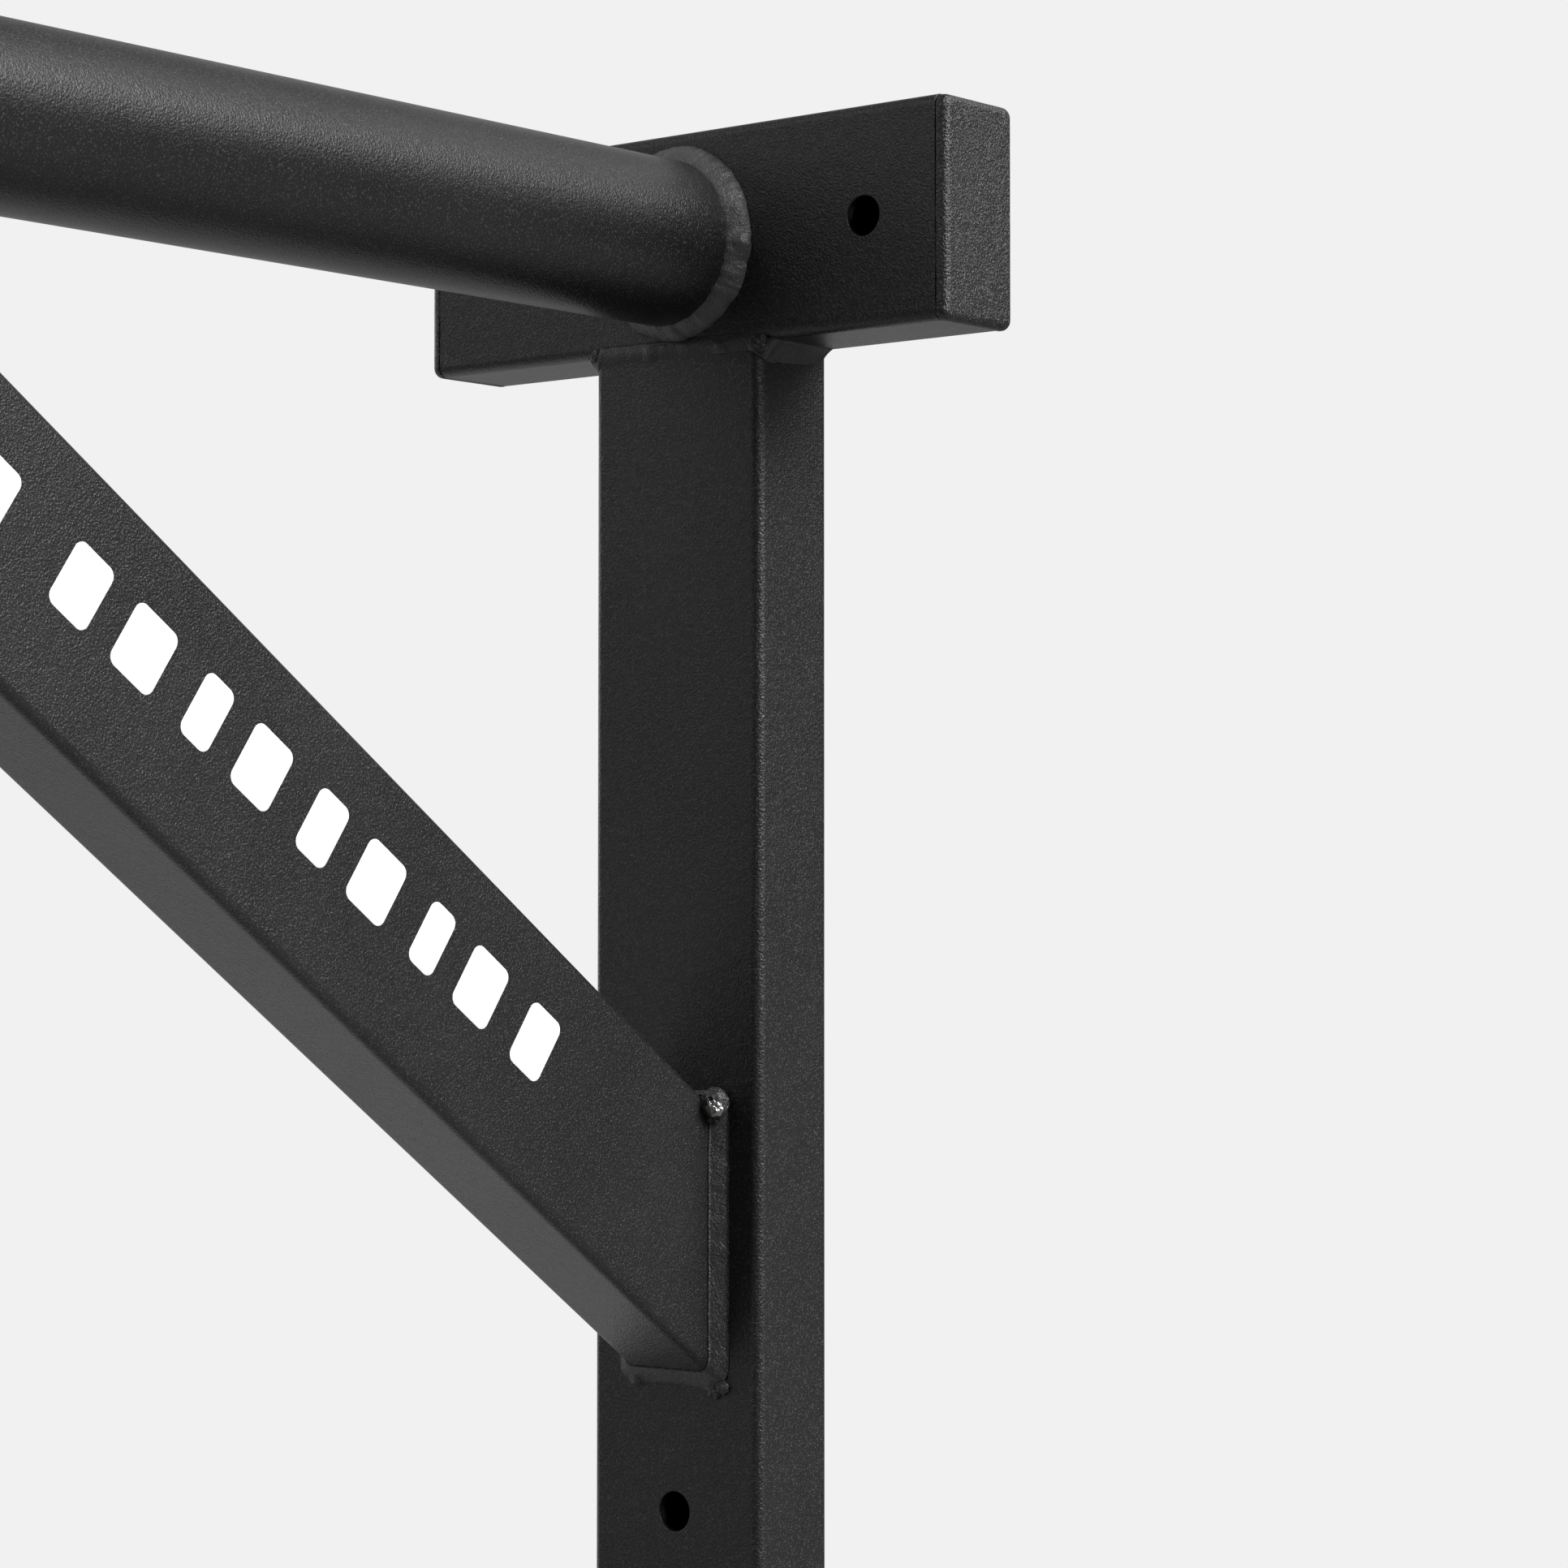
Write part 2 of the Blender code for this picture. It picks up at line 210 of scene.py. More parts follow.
def settle(obj, slot, *nodes):
    """Hangs a piece on the root body and hides the CAD nodes it stands for. The slot is not used."""
    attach(obj, "root")
    if nodes:
        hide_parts(*nodes)
    return obj


# ---------------------------------------------------------------- node helpers
class Nodes:
    """Short names for building one material's nodes."""

    def __init__(self, name):
        self.material = bpy.data.materials.new(name)
        self.material.use_nodes = True
        self.tree = self.material.node_tree
        self.shader = self.tree.nodes["Principled BSDF"]
        self.place = self.tree.nodes.new("ShaderNodeTexCoord").outputs["Object"]

    def link(self, value, socket):
        if isinstance(value, bpy.types.NodeSocket):
            self.tree.links.new(value, socket)
        else:
            socket.default_value = value

    def noise(self, scale, detail=2.0, roughness=0.5):
        node = self.tree.nodes.new("ShaderNodeTexNoise")
        node.inputs["Scale"].default_value = scale
        node.inputs["Detail"].default_value = detail
        node.inputs["Roughness"].default_value = roughness
        self.link(self.place, node.inputs["Vector"])
        return node.outputs["Fac"]

    def cells(self, scale, smoothness=0.6):
        node = self.tree.nodes.new("ShaderNodeTexVoronoi")
        node.feature = "SMOOTH_F1"
        node.inputs["Scale"].default_value = scale
        node.inputs["Smoothness"].default_value = smoothness
        self.link(self.place, node.inputs["Vector"])
        return node.outputs["Distance"]

    def math(self, operation, *values):
        node = self.tree.nodes.new("ShaderNodeMath")
        node.operation = operation
        for value, socket in zip(values, node.inputs):
            self.link(value, socket)
        return node.outputs[0]

    def remap(self, value, low, high, to_low=0.0, to_high=1.0):
        node = self.tree.nodes.new("ShaderNodeMapRange")
        node.interpolation_type = "SMOOTHSTEP"
        self.link(value, node.inputs["Value"])
        node.inputs["From Min"].default_value = low
        node.inputs["From Max"].default_value = high
        node.inputs["To Min"].default_value = to_low
        node.inputs["To Max"].default_value = to_high
        return node.outputs["Result"]

    def blend(self, factor, first, second):
        node = self.tree.nodes.new("ShaderNodeMix")
        node.data_type = "RGBA"
        self.link(factor, node.inputs[0])
        for value, socket in ((first, node.inputs[6]), (second, node.inputs[7])):
            if isinstance(value, bpy.types.NodeSocket):
                self.tree.links.new(value, socket)
            else:
                socket.default_value = (*value, 1.0)
        return node.outputs[2]

    def near(self, point, radius, soft):
        """1 inside a ball round a point, fading to 0 over soft metres."""
        node = self.tree.nodes.new("ShaderNodeVectorMath")
        node.operation = "DISTANCE"
        self.link(self.place, node.inputs[0])
        node.inputs[1].default_value = point
        return self.remap(node.outputs["Value"], radius, radius + soft, 1.0, 0.0)

    def bump(self, height, distance, after=None):
        node = self.tree.nodes.new("ShaderNodeBump")
        node.inputs["Strength"].default_value = 1.0
        node.inputs["Distance"].default_value = distance
        self.link(height, node.inputs["Height"])
        if after:
            self.link(after, node.inputs["Normal"])
        return node.outputs["Normal"]


# ---------------------------------------------------------------- materials
# Sizes of the features in the powder coat, in metres
CELL_SIZE = 0.00062
PEBBLE_SIZE = 0.00043
FINE_SIZE = 0.00020
SWELL_SIZE = 0.0030
# the light specks are painted glints of the coat's grain
GLINT_SPECK_SIZE = 0.00045
MOTTLE_SIZE = 1 / 22.0
RUB_SIZE = 1 / 9.0
PRINT_WEAR_SIZE = 1 / 700.0
PRINT_GRAIN_SIZE = 0.0010
PRINT_GLOSS_SIZE = 1 / 300.0

DARK_TINT = (0.80, 0.80, 0.82)
LIGHT_TINT = (1.22, 1.22, 1.24)
# Colour of the light specks, which are painted glints
GLINT_SPECK_COLOUR = (0.10, 0.10, 0.10)
BARE_METAL = (0.55, 0.54, 0.52)
PAINT_WHITE = (0.86, 0.86, 0.86)
PAINT_WORN = (0.45, 0.45, 0.45)


def powder_coat(name, base=0.014, roughness=0.27, grain=0.00015, lumps=0.00008, glint_specks=0.45, chips=()):
    """Fine-textured matt black powder coat: grain, soft lumps, faint mottling, light specks that are
    painted glints, and rubbed places.
    A chip is (point, radius, soft edge) and shows bare metal."""
    n = Nodes(name)
    cells = n.cells(1 / CELL_SIZE)
    pebble = n.noise(1 / PEBBLE_SIZE, 2.0, 0.55)
    fine = n.noise(1 / FINE_SIZE, 2.0, 0.6)
    swell = n.noise(1 / SWELL_SIZE)
    mottle = n.noise(1 / MOTTLE_SIZE, 4.0, 0.6)
    rub = n.noise(1 / RUB_SIZE, 6.0, 0.7)

    height = n.math("ADD", n.math("MULTIPLY", cells, 0.5), pebble)
    height = n.math("ADD", height, n.math("MULTIPLY", fine, 0.30))
    normal = n.bump(height, grain, n.bump(swell, lumps))

    dark = tuple(base * tint for tint in DARK_TINT)
    light = tuple(base * tint for tint in LIGHT_TINT)
    colour = n.blend(n.remap(mottle, 0.3, 0.7), dark, light)
    # Light specks in the colour: painted glints of the coat's grain
    glint_speck = n.remap(n.noise(1 / GLINT_SPECK_SIZE, 1.0), 0.56, 0.70)
    colour = n.blend(n.math("MULTIPLY", glint_speck, glint_specks), colour, GLINT_SPECK_COLOUR)

    worn = n.remap(rub, 0.35, 0.7, roughness + 0.02, roughness - 0.04)
    rough = n.math("ADD", worn, n.math("MULTIPLY", fine, 0.04))

    metal = None
    for point, radius, soft in chips:
        ragged = n.math("MULTIPLY", n.math("SUBTRACT", fine, 0.5), 0.9)
        chip = n.remap(n.math("ADD", n.near(point, radius, soft), ragged), 0.45, 0.6)
        colour = n.blend(chip, colour, BARE_METAL)
        rough = n.math("SUBTRACT", rough, n.math("MULTIPLY", chip, 0.08))
        metal = chip if metal is None else n.math("MAXIMUM", metal, chip)
    if metal is not None:
        n.link(metal, n.shader.inputs["Metallic"])
    n.link(normal, n.shader.inputs["Normal"])
    n.link(colour, n.shader.inputs["Base Color"])
    n.link(rough, n.shader.inputs["Roughness"])
    return n.material


def print_paint():
    """White paint, a little worn, that follows the coat's grain softly."""
    n = Nodes("white_print")
    worn = n.remap(n.noise(1 / PRINT_WEAR_SIZE, 4.0, 0.7), 0.60, 0.75)
    colour = n.blend(n.math("MULTIPLY", worn, 0.10), PAINT_WHITE, PAINT_WORN)
    n.link(colour, n.shader.inputs["Base Color"])
    n.link(n.bump(n.noise(1 / PRINT_GRAIN_SIZE, 2.0, 0.55), 0.00003), n.shader.inputs["Normal"])
    n.link(n.remap(n.noise(1 / PRINT_GLOSS_SIZE), 0.3, 0.7, 0.42, 0.52), n.shader.inputs["Roughness"])
    return n.material


# ---------------------------------------------------------------- tubes
HOLE_SIDES = 64
HOLE_EDGE_STEPS = 7
HOLE_CUTTER_START = 0.002  # how far a hole's cutter stands out of the tube
BRACE_SIDE_STEPS = 24
BAR_SIDES = 96
BAR_BEND_STEPS = 48
BAR_LEG_STEPS = 9
BAR_FRONT_STEPS = 8


def place_along_x(x, y, z):
    """Local +Z along world +X, local X down."""
    return Matrix.Translation((x, y, z)) @ Matrix.Rotation(math.pi / 2, 4, "Y")


def rectangular_tube(length, matrix):
    """A hollow tube along the matrix's +Z, its outer end edges eased."""
    outer = rounded_rectangle(SECTION_LONG, SECTION_SHORT, SECTION_RADIUS)
    inner = rounded_rectangle(
        SECTION_LONG - 2 * TUBE_WALL, SECTION_SHORT - 2 * TUBE_WALL, SECTION_INNER_RADIUS
    )
    rings = []
    for outline, inset, level in (
        (outer, TUBE_END_EASE, 0.0),
        (outer, 0.0, TUBE_END_EASE),
        (outer, 0.0, length - TUBE_END_EASE),
        (outer, TUBE_END_EASE, length),
        (inner, 0.0, length),
        (inner, 0.0, 0.0),
    ):
        rings.append([matrix @ Vector((*(point - inset * normal), level)) for point, normal in outline])
    return skin(rings, closed=True)


def hole_cutter(x, z):
    """A trumpet along Y: its edge is rounded where it leaves the front and the back face."""
    stations = [(-HOLE_CUTTER_START, HOLE_RADIUS + HOLE_EDGE)]
    for step in range(HOLE_EDGE_STEPS + 1):
        angle = math.pi / 2 * step / HOLE_EDGE_STEPS
        depth = HOLE_EDGE * (1 - math.cos(angle))
        stations.append((depth, HOLE_RADIUS + HOLE_EDGE * (1 - math.sin(angle))))
    back = [(SECTION_SHORT - depth, radius) for depth, radius in reversed(stations)]
    stations += [(SECTION_SHORT / 2, HOLE_RADIUS)] + back
    rings = []
    for depth, radius in stations:
        ring = []
        for step in range(HOLE_SIDES):
            angle = 2 * math.pi * step / HOLE_SIDES
            ring.append(Vector((x + radius * math.cos(angle), FRONT + depth, z + radius * math.sin(angle))))
        rings.append(ring)
    return mesh_object("cutter", skin(rings, closed=False), None)


def build_crosspiece(side, x, material):
    tube = rectangular_tube(CROSS_LENGTH, place_along_x(x - CROSS_LENGTH / 2, SECTION_Y, CROSS_MIDDLE))
    obj = mesh_object(side + "_crosspiece_tube", tube, material)
    offsets = (-CROSSPIECE_HOLE_OFFSET, CROSSPIECE_HOLE_OFFSET)
    cutters = [hole_cutter(x + offset, CROSS_MIDDLE) for offset in offsets]
    settle(bake(obj, cutters), "powder_coat", side + "_crosspiece")


def build_upright(side, x, material):
    length = CROSS_BOTTOM - UPRIGHT_GAP - UPRIGHT_BOTTOM
    tube = rectangular_tube(length, Matrix.Translation((x, SECTION_Y, UPRIGHT_BOTTOM)))
    obj = mesh_object(side + "_upright_tube", tube, material)
    settle(bake(obj, [hole_cutter(x, UPRIGHT_HOLE_HEIGHT)]), "powder_coat", side + "_upright")


def brace_points(x, end, side_steps, wall=0.0, radius=SECTION_RADIUS):
    """The brace's outline, each point with its outward normal, carried along the brace's axis to the
    upright ('foot') or to the bar ('top'). A wall moves it inwards, to the bore."""
    foot = Vector((x, FRONT, FOOT_MIDDLE))
    places = []
    for point, normal in rounded_rectangle(
        SECTION_SHORT - 2 * wall, SECTION_LONG - 2 * wall, radius, side_steps=side_steps
    ):
        place = foot + point.x * X + point.y * BRACE_UP
        outward = (normal.x * X + normal.y * BRACE_UP).normalized()
        if end == "foot":
            place += (FRONT - place.y) / BRACE_ALONG.y * BRACE_ALONG
        else:
            underside = BAR_Z - math.sqrt(BAR_RADIUS**2 - (place.x - x) ** 2)
            place += (underside - place.z) / BRACE_ALONG.z * BRACE_ALONG
        places.append((place, outward))
    return places


def build_brace(side, x, material):
    """The tube from the upright to the bar, its ends cut to both."""
    outer = (0.0, SECTION_RADIUS)
    bore = (TUBE_WALL, SECTION_INNER_RADIUS)
    rings = []
    for (wall, radius), end in ((outer, "foot"), (outer, "top"), (bore, "top"), (bore, "foot")):
        shift = BRACE_GAP * (BRACE_ALONG if end == "foot" else -BRACE_ALONG)
        points = brace_points(x, end, BRACE_SIDE_STEPS, wall, radius)
        rings.append([place + shift for place, _ in points])
    obj = mesh_object(side + "_brace_tube", skin(rings, closed=True), material)
    settle(bake(obj), "powder_coat", side + "_brace")


def build_bar(material):
    """A tube from one bracket to the other, with two bends. A station is (centre, level side)."""
    middle = BRACKET_X - BEND_RADIUS
    start = -(BAR_REACH - BEND_RADIUS)
    stations = [(Vector((BRACKET_X, FRONT - BAR_GAP, BAR_Z)), X)]
    for step in range(1, BAR_LEG_STEPS):
        stations.append((Vector((BRACKET_X, mix(FRONT, start, step / BAR_LEG_STEPS), BAR_Z)), X))
    for step in range(BAR_BEND_STEPS + 1):
        angle = math.pi / 2 * step / BAR_BEND_STEPS
        side = Vector((math.cos(angle), -math.sin(angle), 0.0))
        stations.append((Vector((middle, start, BAR_Z)) + BEND_RADIUS * side, side))
    for step in range(1, BAR_FRONT_STEPS):
        stations.append((Vector((mix(middle, 0.0, step / BAR_FRONT_STEPS), -BAR_REACH, BAR_Z)), -Y))
    mirror = Matrix.Diagonal((-1.0, 1.0, 1.0))
    stations = [(mirror @ place, mirror @ side) for place, side in stations] + stations[::-1]
    outer = []
    inner = []
    for rings, radius in ((outer, BAR_RADIUS), (inner, BAR_RADIUS - TUBE_WALL)):
        for place, side in stations:
            ring = []
            for step in range(BAR_SIDES):
                angle = 2 * math.pi * step / BAR_SIDES
                ring.append(place + radius * (math.cos(angle) * side + math.sin(angle) * Z))
            rings.append(ring)
    obj = mesh_object("grip_bar_tube", skin(outer + inner[::-1], closed=True), material)
    settle(bake(obj, weighted=False), "powder_coat", "pull_up_bar")


# ---------------------------------------------------------------- end plates
PLATE_CORNER_STEPS = 8
PLATE_SIDE_STEPS = 28
PLATE_EDGE_STEPS = 6


def build_end_plate(name, node, matrix, material, seed, drop=0.0):
    """A plate over a tube's end. The seam behind it is a groove that powder fills here and there."""
    outline = rounded_rectangle(
        SECTION_LONG, SECTION_SHORT, SECTION_RADIUS, PLATE_CORNER_STEPS, PLATE_SIDE_STEPS
    )
    # A level is (inset, height above the tube's end). The first is the bottom of the groove.
    levels = [(None, 0.0), (0.00004, 0.00036), (0.0, 0.0006)]
    for step in range(PLATE_EDGE_STEPS + 1):
        angle = math.pi / 2 * step / PLATE_EDGE_STEPS
        inset = PLATE_EDGE * (1 - math.cos(angle))
        levels.append((inset, PLATE_THICKNESS - PLATE_EDGE + PLATE_EDGE * math.sin(angle)))
    rings = []
    for inset, level in levels:
        ring = []
        for point, normal in outline:
            flat = Vector((point.x, point.y, 0.0))
            wobble = wander(flat, 260, (0.0, 0.0, seed))
            if inset is None:
                depth = PLATE_SEAM_DEPTH + PLATE_SEAM_SWING * smooth(0.5 + 1.4 * wobble)
            else:
                depth = inset + 0.00003 * wobble
            depth += 0.00002 * wander(flat, 1300, (0.0, 0.0, seed + 7.0))
            place = point + Vector((drop, 0.0)) - max(depth, 0.0) * normal
            ring.append(matrix @ Vector((place.x, place.y, level)))
        rings.append(ring)
    obj = mesh_object(name, skin(rings, closed=False), material, 50.0)
    settle(bake(obj), "powder_coat", node)


def build_end_plates(side, x, material):
    """Three plates close one bracket. Those on the crosspiece sit a hair off centre."""
    turn_left = Matrix.Rotation(-math.pi / 2, 4, "Y")
    turn_down = Matrix.Rotation(math.pi, 4, "X")
    right = place_along_x(x + CROSS_LENGTH / 2, SECTION_Y, CROSS_MIDDLE)
    left = Matrix.Translation((x - CROSS_LENGTH / 2, SECTION_Y, CROSS_MIDDLE)) @ turn_left
    low = Matrix.Translation((x, SECTION_Y, UPRIGHT_BOTTOM)) @ turn_down
    name = side + "_crosspiece_end_"
    node = side + "_crosspiece_end_plate_"
    build_end_plate(name + "right", node + "right", right, material, 1.7 + x, 0.0002)
    build_end_plate(name + "left", node + "left", left, material, 5.1 + x, -0.0001)
    build_end_plate(side + "_upright_end", side + "_upright_end_plate", low, material, 9.3 + x)


# ---------------------------------------------------------------- weld beads
BAR_WELD_STATIONS = 320
BRACE_WELD_SIDE_STEPS = 90
SEAM_SIDE_STEPS = 56
SEAM_CORNER_STEPS = 16
SEAM_FRONT_STEPS = 110
SEAM_ACROSS_STEPS = 9
RIM_PLACE = 0.1  # a rim's distance from its toe, as a share of the bead's face
RIM_WIDTH = 0.06

# Lumps on the weld round the bar: degrees from +X towards +Z, radius and height
BAR_WELD_LUMPS = (
    (-4, 0.0030, 0.0010),
    (14, 0.0034, 0.0006),
    (34, 0.0022, 0.0003),
    (-86, 0.0034, 0.0009),
    (-60, 0.0026, 0.0003),
    (100, 0.0030, 0.0004),
    (150, 0.0028, 0.0005),
    (205, 0.0024, 0.0004),
    (240, 0.0030, 0.0004),
)
BAR_WELD_LUMPS_OUT = 0.0026
BAR_WELD_LUMPS_FORWARD = 0.0014

# Lumps at both corners of the brace's foot, measured from the corner: height of the corner,
# how far out, forward and up the lump lies, its radius and its height
FOOT_WELD_LUMPS = (
    (FOOT_TOP, 0.0004, 0.0018, 0.0005, 0.0052, 0.0016),
    (FOOT_LOW, -0.0010, 0.0008, -0.0022, 0.0028, 0.0009),
    (FOOT_LOW, 0.0022, 0.0008, -0.0002, 0.0024, 0.0008),
    (FOOT_LOW, 0.0006, 0.0026, 0.0010, 0.0030, 0.0006),
)

# Lumps on the weld under the crosspiece: share of the half width from the middle,
# how far back and down from the front edge, radius and height
SEAM_LUMPS = (
    (1, 0.0012, 0.0014, 0.0036, 0.0009),
    (-1, 0.0010, 0.0010, 0.0030, 0.0006),
    (0.55, 0.0000, 0.0008, 0.0026, 0.0003),
    (-0.3, 0.0000, 0.0005, 0.0030, 0.0003),
)


def raise_lumps(point, outward, lumps):
    """Moves a point of a bead outward near each lump, which is (centre, radius, height)."""
    for centre, radius, height in lumps:
        fall = (point - centre).length / radius
        if fall < 1:
            point = point + outward * height * (1 - fall * fall) ** 2
    return point


def bead(stations, seed, power, steps, rough, ripple, pitch, edge, lumps=(), rim=0.0):
    """The rings of a weld bead. A station is (root, vector to one toe, vector to the other toe).
    The face between the toes is fuller with more power, and goes in so many steps. Rough is the height
    of its slow swell, and ripple that of its scales, which lie a pitch apart. Edge is how much the toes
    wander, and rim is the height of a raised line along each of them."""
    rings = []
    run = 0.0
    last = stations[0][0]
    for root, toe_a, toe_b in stations:
        run += (root - last).length
        last = root
        unit_a = toe_a.normalized()
        unit_b = toe_b.normalized()
        outward = (unit_a + unit_b).normalized()
        edge_a = 1 + edge * (0.22 * wander(root, 420, (seed, 0, 0)) + 0.14 * wander(root, 1500))
        edge_b = 1 + edge * (0.20 * wander(root, 380, (0, seed, 0)) + 0.12 * wander(root, 1300))
        a = toe_a * edge_a
        b = toe_b * edge_b
        ring = [root - EMBED * (unit_a + unit_b), root + a - EMBED * unit_b]
        for step in range(steps + 1):
            t = step / steps
            angle = t * math.pi / 2
            share_a = math.cos(angle) ** (2 / power) if t < 1 else 0.0
            share_b = math.sin(angle) ** (2 / power) if t > 0 else 0.0
            point = root + share_a * a + share_b * b
            swell = rough * (wander(point, 300, (seed, seed, 0)) + 0.6 * wander(point, 900))
            bow = 1.9 * (t - 0.5) ** 2
            phase = run / pitch - bow + 0.35 * wander(root, 240)
            swell += ripple * (0.6 - abs(math.sin(math.pi * phase)))
            near_a = math.exp(-(((t - RIM_PLACE) / RIM_WIDTH) ** 2))
            near_b = math.exp(-(((t - (1 - RIM_PLACE)) / RIM_WIDTH) ** 2))
            point += outward * (math.sin(math.pi * t) * swell + rim * (near_a + near_b))
            ring.append(raise_lumps(point, outward, lumps))
        ring.append(root + b - EMBED * unit_a)
        rings.append(ring)
    return rings


def nodule(bm, centre, radius, squeeze, seed):
    """A lump of spatter with a wrinkled, cratered skin, added to a bead's mesh."""
    made = bmesh.ops.create_icosphere(bm, subdivisions=5, radius=1.0)
    for vert in made["verts"]:
        unit = vert.co.normalized()
        out = 1 + 0.16 * wander(unit, 1.3, (seed, 0, 0)) + 0.08 * wander(unit, 3.4, (0, seed, 0))
        out += 0.035 * wander(unit, 8.0, (seed, seed, 0))
        crater = wander(unit, 2.6, (seed + 4.0, 0, 0))
        out -= 0.22 * smooth((crater - 0.22) / 0.25)
        vert.co = centre + radius * (unit * Vector(squeeze)) * out


def weld_piece(name, bm, material, node):
    """The finished mesh of a bead as a piece."""
    bmesh.ops.recalc_face_normals(bm, faces=bm.faces[:])
    settle(mesh_object(name, bm, material, 80.0), "coated_weld", node)


def build_bar_weld(side, x, material):
    """A ring in the corner between the bar and the front of the crosspiece."""
    stations = []
    for index in range(BAR_WELD_STATIONS):
        angle = 2 * math.pi * index / BAR_WELD_STATIONS
        outward = Vector((math.cos(angle), 0.0, math.sin(angle)))
        root = Vector((x, FRONT, BAR_Z)) + BAR_RADIUS * outward
        out = BAR_WELD_OUT + 0.0003 * math.sin(angle) + 0.0004 * max(0.0, math.cos(angle + 0.5)) ** 4
        along = BAR_WELD_ALONG + 0.0003 * math.cos(angle - 0.5)
        stations.append((root, out * outward, -along * Y))
    ring = BAR_RADIUS + BAR_WELD_LUMPS_OUT
    lumps = []
    for degrees, radius, height in BAR_WELD_LUMPS:
        angle = math.radians(degrees)
        y = FRONT - BAR_WELD_LUMPS_FORWARD
        spot = Vector((x + ring * math.cos(angle), y, BAR_Z + ring * math.sin(angle)))
        lumps.append((spot, radius, height))
    rings = bead(
        stations, 3.0 + x, power=1.30, steps=14,
        rough=0.00016, ripple=0.000025, pitch=0.0021, edge=0.45, lumps=lumps,
    )
    weld_piece(side + "_bar_bead", skin(rings, closed=True), material, side + "_bar_weld")


def foot_weld_stations(x):
    """Round the brace's foot on the upright. The bead is thinner below, above all in the middle, and has
    a waist near the top of each side."""
    stations = []
    for place, normal in brace_points(x, "foot", BRACE_WELD_SIDE_STEPS):
        outward = Vector((normal.x, 0.0, normal.z)).normalized()
        below = smooth(-normal.z)
        above = smooth(normal.z)
        waist = smooth(1 - abs(place.z - (FOOT_MIDDLE + FOOT_WELD_WAIST)) / FOOT_WELD_WAIST_REACH)
        middle = 1 - min(abs(place.x - x) / (SECTION_SHORT / 2), 1.0) ** 2
        out = FOOT_WELD_OUT - (0.0013 + 0.0008 * middle) * below - 0.0002 * above
        along = FOOT_WELD_ALONG - 0.0003 * below - 0.0004 * waist
        stations.append((place, out * outward, along * BRACE_ALONG))
    return stations


def build_brace_foot_weld(side, x, material):
    """The bead round the brace's foot, with a big drop of spatter at each of its upper corners."""
    half = SECTION_SHORT / 2
    lumps = []
    for across in (-1, 1):
        for corner_z, out, forward, up, radius, height in FOOT_WELD_LUMPS:
            spot = Vector((x + across * (half + out), FRONT - forward, corner_z + up))
            lumps.append((spot, radius, height))
    lumps.append((Vector((x - half * 0.8, FRONT - 0.0008, FOOT_LOW - 0.0018)), 0.0026, 0.0004))
    rings = bead(
        foot_weld_stations(x), 11.0 + x, power=1.12, steps=22,
        rough=0.00012, ripple=0.000012, pitch=0.0026, edge=0.22, lumps=lumps, rim=0.00028,
    )
    bm = skin(rings, closed=True)
    for across in (-1, 1):
        centre = Vector((x + across * (half + NODULE_OUT), FRONT - NODULE_FORWARD, FOOT_TOP + NODULE_UP))
        tail = centre + Vector((-across * 0.0044, 0.0004, 0.0009))
        filler = centre + Vector((-across * 0.0012, 0.0008, -0.0026))
        nodule(bm, centre, NODULE_RADIUS, (1.0, 0.92, 1.04), 2.0 + across + x)
        nodule(bm, tail, 0.0026, (1.7, 0.9, 0.75), 5.0 + across + x)
        nodule(bm, filler, 0.0022, (1.0, 0.9, 1.2), 6.0 + x)
    # Two small drops at the lower right corner
    for out, down, radius in ((-0.0004, 0.0030, 0.0015), (0.0020, 0.0018, 0.0016)):
        drop = Vector((x + half + out, FRONT - 0.0002, FOOT_LOW - down))
        nodule(bm, drop, radius, (1.2, 0.7, 1.0), 7.0 + x)
    weld_piece(side + "_brace_foot_bead", bm, material, side + "_brace_foot_weld")


def build_brace_top_weld(side, x, material):
    """Round the brace's top on the underside of the bar."""
    stations = []
    for place, normal in brace_points(x, "top", BRACE_WELD_SIDE_STEPS):
        radial = Vector((place.x - x, 0.0, place.z - BAR_Z)).normalized()
        outward = (normal - normal.dot(radial) * radial).normalized()
        stations.append((place, TOP_WELD_LEG * outward, -TOP_WELD_LEG * BRACE_ALONG))
    rings = bead(
        stations, 17.0 + x, power=1.25, steps=12, rough=0.00018, ripple=0.00003, pitch=0.0019, edge=0.4
    )
    weld_piece(side + "_brace_top_bead", skin(rings, closed=True), material, side + "_brace_top_weld")


def seam_stops():
    """Half of the weld under the crosspiece: from the back, along one side of the upright, round its
    corner and to the middle of its front. A stop is (place on the upright's outline, outward normal,
    width on the crosspiece, width on the upright, 0 at the side to 1 at the front)."""
    half = SECTION_LONG / 2
    back = FRONT + SECTION_SHORT - SEAM_BACK
    stops = []
    for step in range(SEAM_SIDE_STEPS + 1):
        t = step / SEAM_SIDE_STEPS
        place = Vector((half, mix(back, FRONT + SECTION_RADIUS, t), 0.0))
        grow = mix(0.08, 1.0, smooth(t * 14))
        out = grow * mix(0.0035, SEAM_SIDE_OUT, t)
        down = grow * mix(0.0036, SEAM_SIDE_DOWN, smooth(t))
        stops.append((place, X, out, down, 0.0))
    corner = Vector((half - SECTION_RADIUS, FRONT + SECTION_RADIUS, 0.0))
    for step in range(1, SEAM_CORNER_STEPS + 1):
        t = step / SEAM_CORNER_STEPS
        angle = math.pi / 2 * t
        normal = math.cos(angle) * X - math.sin(angle) * Y
        front = smooth(t)
        out = mix(SEAM_SIDE_OUT, SEAM_FRONT_OUT, front)
        down = mix(SEAM_SIDE_DOWN, SEAM_FRONT_DOWN + 0.0001, front)
        stops.append((corner + SECTION_RADIUS * normal, normal, out, down, front))
    for step in range(1, SEAM_FRONT_STEPS + 1):
        place = Vector((mix(half - SECTION_RADIUS, 0.0, step / SEAM_FRONT_STEPS), FRONT, 0.0))
        stops.append((place, -Y, SEAM_FRONT_OUT, SEAM_FRONT_DOWN, 1.0))
    return stops


